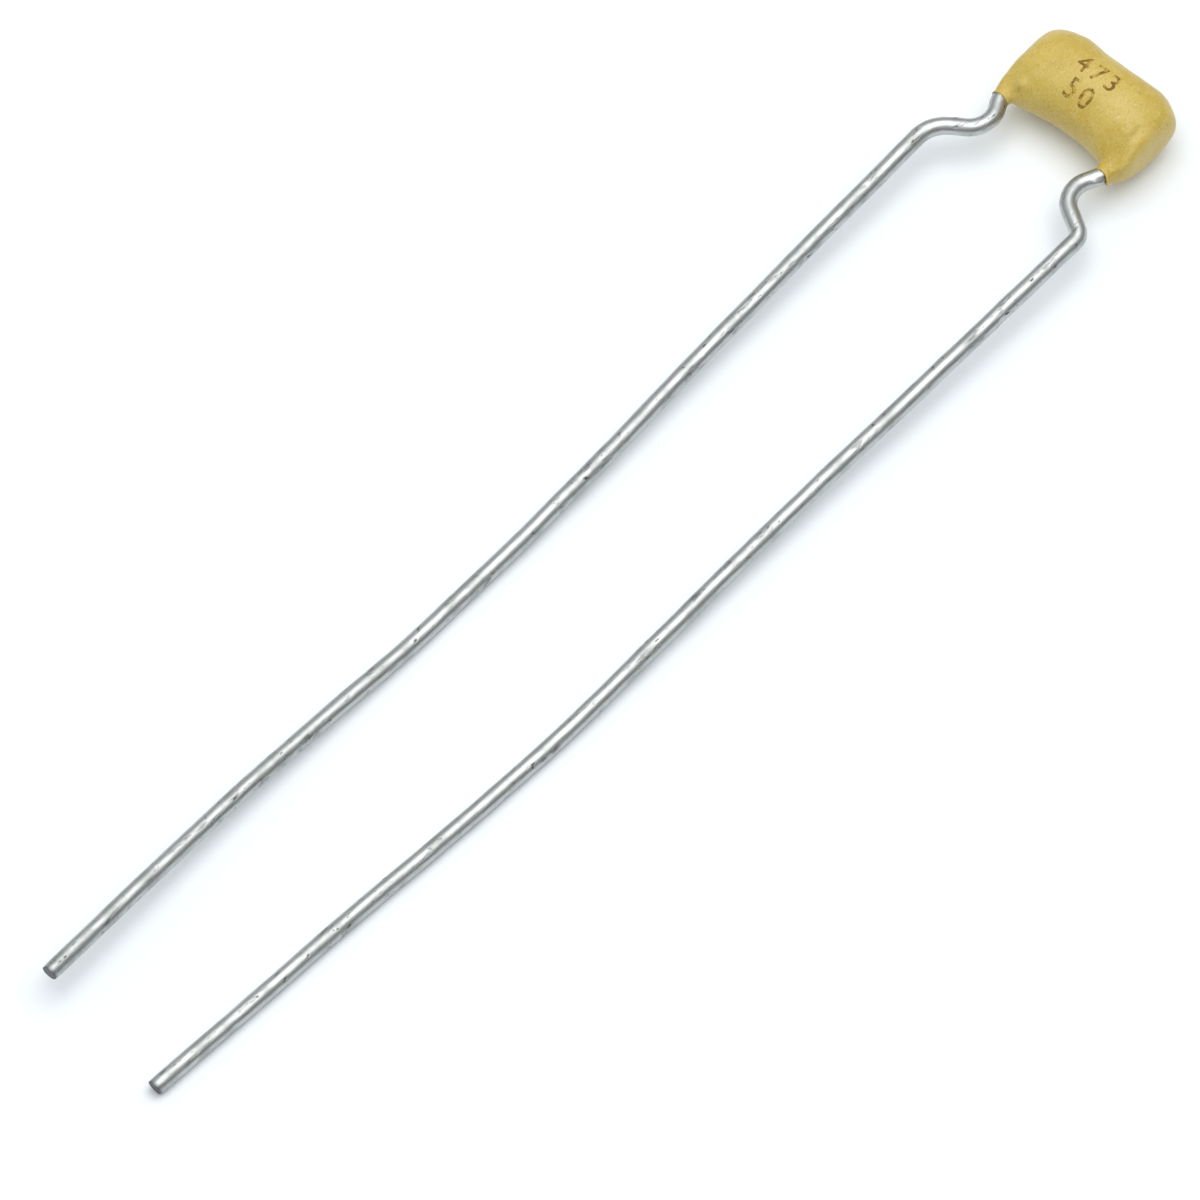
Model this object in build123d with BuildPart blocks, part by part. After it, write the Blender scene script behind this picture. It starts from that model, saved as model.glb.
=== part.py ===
from build123d import *
import math
import os

# Radial-leaded multilayer ceramic capacitor, lying at rest on its body and its two bowed leads.
# A fired ceramic chip with interleaved electrode plates carries a metal cap on each end. A tinned wire is
# soldered along each cap, and the lot is dipped in epoxy, which runs a little way down each wire.
# Below the body each wire turns in, kinks out to its pitch and runs on to a cropped tip.
# Lengths are in millimetres: +X runs from the lead tips to the body, +Y across the leads and +Z up.
# The origin is on the table, below the middle of the whole part.

# Ceramic chip, measured over its metal end caps
chip_length = 3.2
chip_width = 1.6
chip_thickness = 1.2
cap_thickness = 0.05
cap_band = 0.5

# Electrode plates printed between the ceramic layers
plate_count = 9
plate_thickness = 0.02
plate_side_margin = 0.2
plate_end_gap = 0.4
cover_layer = 0.2

# Lead wire and the solder that holds it to its cap
wire_diameter = 0.5
tip_bevel = 0.04
wire_top_inset = 0.3
solder_gap = 0.03
solder_height = 0.9
solder_end_inset = 0.1
solder_hollow_share = 0.3

# Epoxy skin over the chip and the wires, with a leg down each wire
skin_over_face = 0.55
skin_over_top = 0.41
skin_under_chip = 0.41
skin_left_of_wire = 0.09
skin_right_of_wire = 0.29
top_hollow = 0.1
leg_length = 0.44
shoulder_drop = 1.0
heel_rise = 2.0

# How square the body's plan is: a power of two is an ellipse, and more is squarer
shoulder_power = 3.5
heel_power = 6.75
arch_power = 2.35

# Cross-sections of the body: how many, how far they fan out to its ends, where each is thickest, and how
# far its curves reach towards their corners, where 0.55 is an ellipse and more is squarer
section_count = 11
fan_share = 0.97
thickest_share = 0.55
top_corner_share = 0.67
low_corner_share = 0.54

# Forming radii on the centre line of both leads, and where the first bend lies below the exit line
exit_bend_below = 0.05
exit_bend_radius = 0.45
turn_radius = 0.8
sway_radius = 100.0
floor_radius = 45.0
dip_rounds = 12

# Left lead: each run down the lead from the exit line, how far out from the straight wire in the body that
# run ends, and how tight its kink is
left_turn_run = 0.93
left_turn_in = 0.46
left_kink_radius = 1.1
left_kink_run = 0.98
left_kink_out = 0.95
left_floor_run = 20.6
left_floor_out = 0.96
left_far_run = 8.0
left_far_out = 1.28
left_tip_run = 8.0
left_tip_out = 1.2
left_tip_lift = 0.85

# Right lead, given the same way
right_turn_run = 1.18
right_turn_in = 0.54
right_kink_radius = 0.4
right_kink_run = 0.78
right_kink_out = 0.82
right_near_run = 11.04
right_near_out = 0.38
right_floor_run = 10.5
right_floor_out = 0.24
right_tip_run = 15.5
right_tip_out = -0.71
right_tip_lift = 0.0

# Sizes that follow from those above
wire_radius = wire_diameter / 2
ceramic_length = chip_length - 2 * cap_thickness
ceramic_width = chip_width - 2 * cap_thickness
ceramic_thickness = chip_thickness - 2 * cap_thickness
plate_length = ceramic_length - plate_end_gap
plate_width = ceramic_width - 2 * plate_side_margin
plate_pitch = (ceramic_thickness - 2 * cover_layer - plate_thickness) / (plate_count - 1)
wire_y = chip_length / 2 + solder_gap + wire_radius
wire_edge_y = wire_y + wire_radius
body_middle_y = (skin_left_of_wire - skin_right_of_wire) / 2
body_half_width = wire_edge_y + (skin_left_of_wire + skin_right_of_wire) / 2
body_half_thickness = chip_thickness / 2 + skin_over_face
chip_low_x = leg_length + skin_under_chip
chip_middle_x = chip_low_x + chip_width / 2
chip_top_x = chip_low_x + chip_width
body_top_x = chip_top_x + skin_over_top
wire_top_x = chip_top_x - wire_top_inset

# The runs of each lead: level with the body's middle, then falling to the table, then rising to the tip
left_level = [(left_turn_run, -left_turn_in), (left_kink_run, left_kink_out)]
left_fall = [(left_floor_run, left_floor_out)]
left_rise = [(left_far_run, left_far_out), (left_tip_run, left_tip_out)]
left_runs = left_level + left_fall + left_rise
right_level = [(right_turn_run, -right_turn_in), (right_kink_run, right_kink_out)]
right_fall = [(right_near_run, right_near_out), (right_floor_run, right_floor_out)]
right_rise = [(right_tip_run, right_tip_out)]
right_runs = right_level + right_fall + right_rise


def total_run(runs):
    """The length of some runs along the lead, end to end."""
    return sum(run for run, out in runs)


# The exit line, where the wires leave the body at half its height, is the seat that every piece is
# placed from
lead_length = max(total_run(runs) for runs in (left_runs, right_runs))
left_reach = max(out for run, out in left_runs)
right_reach = max(out for run, out in right_runs)
seat = Plane(
    origin=((lead_length - body_top_x) / 2, (right_reach - left_reach) / 2, body_half_thickness),
    x_dir=(1, 0, 0),
    z_dir=(0, 0, 1),
)


def seat_point(x, y, z=0):
    """The point x above the exit line, y across it and z above the body's middle."""
    return seat.from_local_coords(Vector(x, y, z))


def corner_dip(fall, fall_run, rise, rise_run):
    """How far the corner of two gentle slopes lies below the lowest point of the arc that rounds it."""
    dip = 0
    for _ in range(dip_rounds):
        dip = floor_radius / 2 * (fall + dip) / fall_run * (rise + dip) / rise_run
    return dip


def lead_route(side, level, fall, rise, tip_lift):
    """Corners of one lead's centre line, from its end inside the body to its tip."""
    lying_drop = body_half_thickness - wire_radius
    dip = corner_dip(lying_drop, total_run(fall), tip_lift, total_run(rise))
    slopes = [
        (level, 0),
        (fall, -(lying_drop + dip) / total_run(fall)),
        (rise, (tip_lift + dip) / total_run(rise)),
    ]
    route = [seat_point(wire_top_x, side * wire_y), seat_point(-exit_bend_below, side * wire_y)]
    x = 0
    z = 0
    for runs, slope in slopes:
        for run, out in runs:
            x -= run
            z += slope * run
            route.append(seat_point(x, side * (wire_y + out), z))
    return route


# Leads: round wire along straight runs joined by tangent arcs, with a bevelled tip
def make_lead(side, level, fall, rise, tip_lift, kink_radius):
    """One formed wire, given by its runs."""
    route = lead_route(side, level, fall, rise, tip_lift)
    radii = [exit_bend_radius, turn_radius, kink_radius]
    radii += [sway_radius] * (len(fall) - 1) + [floor_radius] + [sway_radius] * (len(rise) - 1)
    with BuildPart() as lead:
        with BuildLine() as centre_line:
            FilletPolyline(*route, radius=radii)
        with BuildSketch(Plane(origin=route[0], z_dir=route[1] - route[0])):
            Circle(wire_radius)
        sweep(path=centre_line.wire())
        tip_face = lead.faces().filter_by(GeomType.PLANE).sort_by(Axis.X)[0]
        chamfer(tip_face.edges(), length=tip_bevel)
    return lead


lead_left = make_lead(1, left_level, left_fall, left_rise, left_tip_lift, left_kink_radius)
lead_right = make_lead(-1, right_level, right_fall, right_rise, right_tip_lift, right_kink_radius)


# Electrode plates: two sets alternate up the stack, and each set reaches its own end of the block
def make_plates(side, first):
    """Every second plate of the stack from the first given, all reaching the block's end on that side."""
    lowest = -ceramic_thickness / 2 + cover_layer + plate_thickness / 2
    with BuildPart() as plates:
        for index in range(first, plate_count, 2):
            with BuildSketch(seat.offset(lowest + index * plate_pitch)):
                with Locations((chip_middle_x, side * plate_end_gap / 2)):
                    Rectangle(plate_width, plate_length)
            extrude(amount=plate_thickness / 2, both=True)
    return plates


electrodes_left = make_plates(1, 0)
electrodes_right = make_plates(-1, 1)

# Ceramic chip: one block, fired round the plates
with BuildPart() as ceramic_block:
    with BuildSketch(seat):
        with Locations((chip_middle_x, 0)):
            Rectangle(ceramic_width, ceramic_length)
    extrude(amount=ceramic_thickness / 2, both=True)

with BuildPart() as ceramic_chip:
    add(ceramic_block.part)
    add(electrodes_left.part, mode=Mode.SUBTRACT)
    add(electrodes_right.part, mode=Mode.SUBTRACT)


# Terminations: a metal cap closes each end of the block and wraps a short band round it
def make_termination(side):
    """The metal cap on one end of the ceramic block."""
    with BuildPart() as termination:
        with BuildSketch(seat):
            with Locations((chip_middle_x, side * (chip_length - cap_band) / 2)):
                Rectangle(chip_width, cap_band)
        extrude(amount=chip_thickness / 2, both=True)
        add(ceramic_block.part, mode=Mode.SUBTRACT)
    return termination


termination_left = make_termination(1)
termination_right = make_termination(-1)


# Solder: a fillet with hollow sides above and below each wire, along the face of its cap
def make_solder(side, lead):
    """The solder between one cap and its wire."""
    face_y = side * chip_length / 2
    crown_y = side * wire_y
    foot_z = solder_height / 2
    hollow_y = face_y + (crown_y - face_y) * solder_hollow_share
    hollow_z = wire_radius + (foot_z - wire_radius) * solder_hollow_share
    start_x = chip_low_x + solder_end_inset
    with BuildPart() as solder:
        with BuildSketch(Plane(origin=seat_point(start_x, 0), x_dir=seat.y_dir, z_dir=seat.x_dir)):
            with BuildLine():
                Line((face_y, -foot_z), (face_y, foot_z))
                ThreePointArc((face_y, foot_z), (hollow_y, hollow_z), (crown_y, wire_radius))
                Line((crown_y, wire_radius), (crown_y, -wire_radius))
                ThreePointArc((crown_y, -wire_radius), (hollow_y, -hollow_z), (face_y, -foot_z))
            make_face()
        extrude(amount=wire_top_x - start_x)
        add(lead.part, mode=Mode.SUBTRACT)
    return solder


solder_left = make_solder(1, lead_left)
solder_right = make_solder(-1, lead_right)


# Epoxy coating: a pillow lofted across the body's width, with a leg that ends on each wire
def rounding(share, power):
    """Falls from one at the body's middle to zero at its end, along a superellipse."""
    return (1 - abs(share) ** power) ** (1 / power)


def draw_section(share):
    """Draws the body's cross-section at that share of its half width: x up the body, z off its middle."""
    top = body_top_x + top_hollow * share**2 - shoulder_drop * (1 - rounding(share, shoulder_power))
    arch = leg_length * (1 - abs(share * body_half_width / wire_y) ** arch_power)
    low = arch + heel_rise * (1 - rounding(share, heel_power))
    thickest = low + thickest_share * (top - low)
    half_thickness = body_half_thickness * rounding(share, shoulder_power)
    for tip, corner_share in ((top, top_corner_share), (low, low_corner_share)):
        corner_x = thickest + corner_share * (tip - thickest)
        for crown in (half_thickness, -half_thickness):
            Bezier((tip, 0), (tip, corner_share * crown), (corner_x, crown), (thickest, crown))


with BuildPart() as epoxy_coating:
    for index in range(section_count):
        spread = 2 * index / (section_count - 1) - 1
        share = math.sin(spread * fan_share * math.pi / 2)
        middle = seat_point(0, body_middle_y + share * body_half_width)
        with BuildSketch(Plane(origin=middle, x_dir=seat.x_dir, z_dir=-seat.y_dir)):
            with BuildLine():
                draw_section(share)
            make_face()
    loft()
    add(ceramic_block.part, mode=Mode.SUBTRACT)
    for covered in (termination_left, termination_right, solder_left, solder_right):
        add(covered.part, mode=Mode.SUBTRACT)
    for lead in (lead_left, lead_right):
        add(lead.part, mode=Mode.SUBTRACT)

# Each piece is labelled and written to a file of its own
pieces = {
    "epoxy_coating": epoxy_coating,
    "lead_left": lead_left,
    "lead_right": lead_right,
    "ceramic_chip": ceramic_chip,
    "electrodes_left": electrodes_left,
    "electrodes_right": electrodes_right,
    "termination_left": termination_left,
    "termination_right": termination_right,
    "solder_left": solder_left,
    "solder_right": solder_right,
}
os.makedirs("parts", exist_ok=True)
for name, piece in pieces.items():
    piece.part.label = name
    export_step(piece.part, f"parts/{name}.step")
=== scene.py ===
import logging
import math
from dataclasses import dataclass, field
from enum import Enum
from typing import Any, Union

import bpy
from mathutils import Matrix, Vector


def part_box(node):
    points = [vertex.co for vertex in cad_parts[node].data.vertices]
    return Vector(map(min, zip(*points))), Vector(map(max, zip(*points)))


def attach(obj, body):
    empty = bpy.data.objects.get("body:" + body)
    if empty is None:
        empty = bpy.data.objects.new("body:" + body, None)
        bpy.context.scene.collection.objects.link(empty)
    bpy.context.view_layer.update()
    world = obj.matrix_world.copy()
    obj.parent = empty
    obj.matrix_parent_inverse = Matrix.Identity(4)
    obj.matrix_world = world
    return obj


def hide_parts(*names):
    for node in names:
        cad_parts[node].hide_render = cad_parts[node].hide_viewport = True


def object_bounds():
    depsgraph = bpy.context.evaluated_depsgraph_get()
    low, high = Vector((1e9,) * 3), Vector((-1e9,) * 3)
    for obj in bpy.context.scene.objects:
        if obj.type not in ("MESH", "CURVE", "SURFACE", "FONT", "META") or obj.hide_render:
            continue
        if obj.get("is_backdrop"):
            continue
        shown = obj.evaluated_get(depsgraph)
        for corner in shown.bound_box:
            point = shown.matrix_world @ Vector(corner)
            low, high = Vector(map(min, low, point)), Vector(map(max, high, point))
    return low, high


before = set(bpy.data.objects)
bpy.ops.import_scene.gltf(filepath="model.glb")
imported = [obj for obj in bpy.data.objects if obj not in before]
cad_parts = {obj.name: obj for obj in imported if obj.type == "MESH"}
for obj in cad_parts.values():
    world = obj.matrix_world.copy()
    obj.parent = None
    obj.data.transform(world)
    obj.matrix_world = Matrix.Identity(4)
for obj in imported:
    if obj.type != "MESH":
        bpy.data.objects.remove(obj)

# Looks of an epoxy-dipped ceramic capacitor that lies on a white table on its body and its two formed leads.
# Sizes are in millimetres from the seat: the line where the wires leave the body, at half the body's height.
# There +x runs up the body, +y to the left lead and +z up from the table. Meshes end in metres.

LOG = logging.getLogger("capacitor")
MM = 0.001
BODY = "root"
WIRE_RADIUS = 0.25
WIRE_OFFSET = 1.88
UP = (0.0, 0.0, 1.0)
DOWN = (0.0, 0.0, -1.0)

Colour = tuple[float, float, float]
Place = tuple[float, float, float]
Span = tuple[float, float]
Socket = bpy.types.NodeSocket
Number = Union[float, "Field"]


class Side(Enum):
    """Which of the two leads is meant, by the sign of its place across the body."""

    LEFT = 1
    RIGHT = -1


@dataclass(frozen=True)
class Grain:
    """Soft random noise: grains for each millimetre, finer layers, their strength, and its pace along x."""

    per_mm: float
    layers: float = 2.0
    rough: float = 0.5
    along: float = 1.0


class Graph:
    """A node tree that is being wired, with short calls for nodes, links and arithmetic."""

    def __init__(self, tree: bpy.types.NodeTree) -> None:
        """Starts wiring a tree."""
        self.tree = tree

    def feed(self, socket: Socket, value: Any) -> None:
        """Links a socket to a field or another socket, or sets its own value.

        Args:
            socket: The input socket.
            value: A field, an output socket or a plain value.
        """
        source = value.socket if isinstance(value, Field) else value
        if isinstance(source, Socket):
            self.tree.links.new(source, socket)
        else:
            socket.default_value = source

    def add(self, kind: str, inputs: dict[Any, Any] | None = None, **options: Any) -> bpy.types.Node:
        """Adds a node.

        Args:
            kind: The node's type.
            inputs: What its input sockets get, by name or by place.
            options: The node's own settings.

        Returns:
            The new node.
        """
        node = self.tree.nodes.new(kind)
        for name, value in options.items():
            setattr(node, name, value)
        for key, value in (inputs or {}).items():
            self.feed(node.inputs[key], value)
        return node

    def take(self, kind: str, output: str, inputs: dict[Any, Any] | None = None, **options: Any) -> Socket:
        """Adds a node and gives one of its outputs."""
        return self.add(kind, inputs, **options).outputs[output]

    def math(self, operation: str, *values: Number) -> "Field":
        """Joins numbers by one operation."""
        node = self.add("ShaderNodeMath", dict(enumerate(values)), operation=operation)
        return Field(self, node.outputs[0])

    def bell(self, off: "Field") -> "Field":
        """Makes a soft bump: one where the number is zero, and fading out on both sides of it."""
        return self.math("EXPONENT", off * off * -1.0)

    def smooth(
        self, value: Number, low: Number, high: Number, start: Number = 0.0, end: Number = 1.0,
    ) -> "Field":
        """Goes from one number to another in a smooth step.

        Args:
            value: What is measured.
            low: Where the step starts.
            high: Where it ends.
            start: The result up to the start.
            end: The result from the end on.

        Returns:
            The stepped number.
        """
        ends = {"Value": value, "From Min": low, "From Max": high, "To Min": start, "To Max": end}
        return Field(self, self.take("ShaderNodeMapRange", "Result", ends, interpolation_type="SMOOTHSTEP"))

    def split(self, vector: Socket) -> list["Field"]:
        """Gives the x, y and z of a vector."""
        return [Field(self, socket) for socket in self.add("ShaderNodeSeparateXYZ", {0: vector}).outputs]

    def combine(self, x: Number, y: Number, z: Number) -> Socket:
        """Makes a vector of three numbers."""
        return self.take("ShaderNodeCombineXYZ", "Vector", {0: x, 1: y, 2: z})

    def vector(self, operation: str, *values: Any) -> Socket:
        """Joins vectors by one operation that gives a vector."""
        return self.take("ShaderNodeVectorMath", "Vector", dict(enumerate(values)), operation=operation)

    def scaled(self, vector: Socket, factor: Number) -> Socket:
        """Makes a vector longer or shorter by a factor."""
        return self.take("ShaderNodeVectorMath", "Vector", {0: vector, "Scale": factor}, operation="SCALE")

    def distance(self, first: Socket, second: Socket) -> "Field":
        """Measures how far apart two places are."""
        places = {0: first, 1: second}
        return Field(self, self.take("ShaderNodeVectorMath", "Value", places, operation="DISTANCE"))

    def texture(self, vector: Socket, grain: Grain, unit: float = 1.0) -> bpy.types.Node:
        """Adds soft random noise.

        Args:
            vector: Where it is sampled.
            grain: How fine it is.
            unit: A millimetre in the vector's own unit.

        Returns:
            The noise node.
        """
        if grain.along != 1.0:
            vector = self.vector("MULTIPLY", vector, (grain.along, 1.0, 1.0))
        fineness = {"Scale": grain.per_mm / unit, "Detail": grain.layers, "Roughness": grain.rough}
        return self.add("ShaderNodeTexNoise", {"Vector": vector, **fineness})

    def noise(self, vector: Socket, grain: Grain, unit: float = 1.0) -> "Field":
        """Samples soft random noise as a number about one half."""
        return Field(self, self.texture(vector, grain, unit).outputs["Fac"])


@dataclass(frozen=True)
class Field:
    """A number that flows through a node tree, and takes plain arithmetic."""

    graph: Graph
    socket: Socket

    def __add__(self, other: Number) -> "Field":
        """Adds a number."""
        return self.graph.math("ADD", self, other)

    def __sub__(self, other: Number) -> "Field":
        """Takes a number away."""
        return self.graph.math("SUBTRACT", self, other)

    def __rsub__(self, other: Number) -> "Field":
        """Is taken away from a number."""
        return self.graph.math("SUBTRACT", other, self)

    def __mul__(self, other: Number) -> "Field":
        """Multiplies by a number."""
        return self.graph.math("MULTIPLY", self, other)

    def __truediv__(self, other: Number) -> "Field":
        """Divides by a number."""
        return self.graph.math("DIVIDE", self, other)

    def __pow__(self, other: Number) -> "Field":
        """Is raised to a power."""
        return self.graph.math("POWER", self, other)

    __radd__ = __add__
    __rmul__ = __mul__


class Tree:
    """A Geometry Nodes tree with named inputs, which makes one piece as a plain mesh."""

    def __init__(self, name: str) -> None:
        """Starts an empty tree.

        Args:
            name: The tree's name.
        """
        self.group = bpy.data.node_groups.new(name, "GeometryNodeTree")
        self.graph = Graph(self.group)
        self.values: dict[str, Any] = {}
        self.group.interface.new_socket("Geometry", in_out="OUTPUT", socket_type="NodeSocketGeometry")
        self.group.interface.new_socket("Geometry", in_out="INPUT", socket_type="NodeSocketGeometry")
        self.start = self.graph.add("NodeGroupInput")
        self.end = self.graph.add("NodeGroupOutput")

    def geometry(self) -> Socket:
        """Gives the mesh that the tree starts from."""
        return self.start.outputs["Geometry"]

    def given(self, name: str, value: Any, kind: str = "Float") -> Socket:
        """Gives a named input, which is added at its first call, and remembers its value.

        Args:
            name: The input's name.
            value: What the modifier sets it to.
            kind: The socket's kind.

        Returns:
            The input inside the tree.
        """
        if name not in self.values:
            self.group.interface.new_socket(name, in_out="INPUT", socket_type="NodeSocket" + kind)
        self.values[name] = value
        return self.start.outputs[name]

    def number(self, name: str, value: float) -> Field:
        """Gives a named size as a field."""
        return Field(self.graph, self.given(name, value))

    def place(self) -> Socket:
        """Gives each point's place."""
        return self.graph.take("GeometryNodeInputPosition", "Position")

    def moved(self, shape: Socket, **where: Socket) -> Socket:
        """Moves each point of a shape, to a Position or by an Offset."""
        return self.graph.take("GeometryNodeSetPosition", "Geometry", {"Geometry": shape, **where})

    def attribute(self, name: str, data_type: str) -> Socket:
        """Reads an attribute of the points."""
        named = {"Name": name}
        return self.graph.take("GeometryNodeInputNamedAttribute", "Attribute", named, data_type=data_type)

    def stored(self, shape: Socket, name: str, value: Any, data_type: str) -> Socket:
        """Keeps a value on the points of a shape as an attribute."""
        kept = {"Geometry": shape, "Name": name, "Value": value}
        return self.graph.take("GeometryNodeStoreNamedAttribute", "Geometry", kept, data_type=data_type)

    def welded(self, shape: Socket, distance: float) -> Socket:
        """Joins the points of a shape that lie closer than a distance."""
        close = {"Geometry": shape, "Distance": distance}
        return self.graph.take("GeometryNodeMergeByDistance", "Geometry", close)

    def finish(self, shape: Socket, origin: Vector, material: bpy.types.Material) -> None:
        """Places the shape in metres, realizes it and gives it its material.

        Args:
            shape: The made geometry, in millimetres from the seat.
            origin: The seat, in metres.
            material: The piece's finish.
        """
        seat = self.given("Seat", tuple(origin), "Vector")
        steps = (
            ("GeometryNodeTransform", {"Translation": seat, "Scale": (MM,) * 3}),
            ("GeometryNodeRealizeInstances", {}),
            ("GeometryNodeSetShadeSmooth", {}),
            ("GeometryNodeSetMaterial", {"Material": self.given("Finish", material, "Material")}),
        )
        for kind, inputs in steps:
            shape = self.graph.take(kind, "Geometry", {"Geometry": shape, **inputs})
        self.graph.feed(self.end.inputs["Geometry"], shape)

    def make(self, name: str, base: bpy.types.Mesh | None = None) -> bpy.types.Object:
        """Runs the tree and keeps its result as a plain mesh.

        Args:
            name: The piece's name.
            base: The mesh that the tree starts from, if it needs one.

        Returns:
            The piece, at the origin and with no modifier.
        """
        bench = bpy.data.objects.new(name + "_bench", base or bpy.data.meshes.new(name + "_base"))
        bpy.context.scene.collection.objects.link(bench)
        modifier = bench.modifiers.new(self.group.name, "NODES")
        modifier.node_group = self.group
        for item in self.group.interface.items_tree:
            if item.in_out == "INPUT" and item.name in self.values:
                modifier[item.identifier] = self.values[item.name]
        graph = bpy.context.evaluated_depsgraph_get()
        mesh = bpy.data.meshes.new_from_object(bench.evaluated_get(graph), depsgraph=graph)
        bpy.data.objects.remove(bench)
        mesh.name = name
        piece = bpy.data.objects.new(name, mesh)
        bpy.context.scene.collection.objects.link(piece)
        return piece


@dataclass(frozen=True)
class Layer:
    """A colour that shows where a texture passes from one edge to the other, and how much of it shows."""

    colour: Colour
    edge: Span
    share: float = 1.0


class Finish:
    """A procedural material that reads the piece's own place, in metres."""

    name = "finish"

    def __init__(self) -> None:
        """Starts an empty material round one Principled shader."""
        self.material = bpy.data.materials.new(self.name)
        self.material.use_nodes = True
        self.graph = Graph(self.material.node_tree)
        self.shader = self.material.node_tree.nodes["Principled BSDF"]
        self.place = self.graph.take("ShaderNodeTexCoord", "Object")

    def set(self, **values: Any) -> None:
        """Sets or links the shader's sockets, named with underscores for spaces."""
        for name, value in values.items():
            self.graph.feed(self.shader.inputs[name.replace("_", " ")], value)

    def noise(self, grain: Grain) -> Field:
        """Samples soft random noise on the piece."""
        return self.graph.noise(self.place, grain, MM)

    def mix(self, share: Number, first: Any, second: Any) -> Socket:
        """Goes from one colour to another.

        Args:
            share: How much of the second colour.
            first: A colour or a colour socket.
            second: A colour or a colour socket.

        Returns:
            The mixed colour.
        """
        node = self.graph.add("ShaderNodeMix", data_type="RGBA")
        slots = [socket for socket in node.inputs if socket.enabled]
        for socket, value in zip(slots, (share, first, second)):
            self.graph.feed(socket, (*value, 1.0) if isinstance(value, tuple) else value)
        return [socket for socket in node.outputs if socket.enabled][0]

    def over(self, below: Any, texture: Field, layer: Layer) -> Socket:
        """Lays a layer's colour over another colour, where the texture says."""
        return self.mix(self.graph.smooth(texture, *layer.edge) * layer.share, below, layer.colour)

    def relief(self, height: Number, depth: float, strength: float) -> Socket:
        """Turns a height into bumps.

        Args:
            height: The height, from zero to one.
            depth: The real depth of that range, in millimetres.
            strength: How much of the relief shows.

        Returns:
            The bumped normal.
        """
        inputs = {"Height": height, "Distance": depth * MM, "Strength": strength}
        return self.graph.take("ShaderNodeBump", "Normal", inputs)


class EpoxyFinish(Finish):
    """Satin mustard epoxy with fine filler grains, soft blotches and tiny pits, with painted shade darkening
    its pores and pits.
    """

    name = "dipped_epoxy"
    base: Colour = (0.630, 0.455, 0.085)
    deep: Layer = Layer((0.580, 0.400, 0.055), edge=(0.38, 0.62))
    pale: Layer = Layer((0.680, 0.520, 0.150), edge=(0.42, 0.72), share=0.5)
    grain: Layer = Layer((0.740, 0.610, 0.280), edge=(0.58, 0.72), share=0.6)
    # The pore and pit colours are painted shade: they darken the same low spots that the bump sinks.
    painted_pore_shade: Layer = Layer((0.360, 0.230, 0.030), edge=(0.42, 0.30), share=0.5)
    painted_pit_shade: Layer = Layer((0.360, 0.230, 0.030), edge=(0.10, 0.03), share=0.7)
    blotches: Grain = Grain(0.9, layers=3.0)
    clouds: Grain = Grain(5.0, layers=4.0, rough=0.6)
    specks: Grain = Grain(17.0, rough=0.6)
    pits_per_mm: float = 2.6
    pit_wall: Span = (0.12, 0.02)
    cloud_height: float = 0.5
    speck_height: float = 0.35
    pit_depth: float = 0.6
    bump_depth: float = 0.02
    bump_share: float = 0.55
    roughness_edge: Span = (0.3, 0.7)
    roughness: Span = (0.45, 0.6)
    specular: float = 0.3
    coat: float = 0.7
    coat_roughness: float = 0.37
    coat_ior: float = 1.5

    def __init__(self) -> None:
        """Wires the blotches, grains and pits, and paints shade into the pores and pits."""
        super().__init__()
        graph = self.graph
        cloud, speck = self.noise(self.clouds), self.noise(self.specks)
        cells = {"Vector": self.place, "Scale": self.pits_per_mm / MM, "Randomness": 1.0}
        dots = Field(graph, graph.take("ShaderNodeTexVoronoi", "Distance", cells))
        colour = self.over(self.base, self.noise(self.blotches), self.deep)
        # The last two layers paint shade into the pores and pits.
        for texture, layer in ((cloud, self.pale), (speck, self.grain), (speck, self.painted_pore_shade), (dots, self.painted_pit_shade)):
            colour = self.over(colour, texture, layer)
        height = cloud * self.cloud_height + speck * self.speck_height
        height = height - graph.smooth(dots, *self.pit_wall) * self.pit_depth
        self.set(Base_Color=colour, Normal=self.relief(height, self.bump_depth, self.bump_share))
        self.set(Roughness=graph.smooth(cloud, *self.roughness_edge, *self.roughness))
        self.set(Specular_IOR_Level=self.specular)
        self.set(Coat_Weight=self.coat, Coat_Roughness=self.coat_roughness, Coat_IOR=self.coat_ior)


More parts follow.
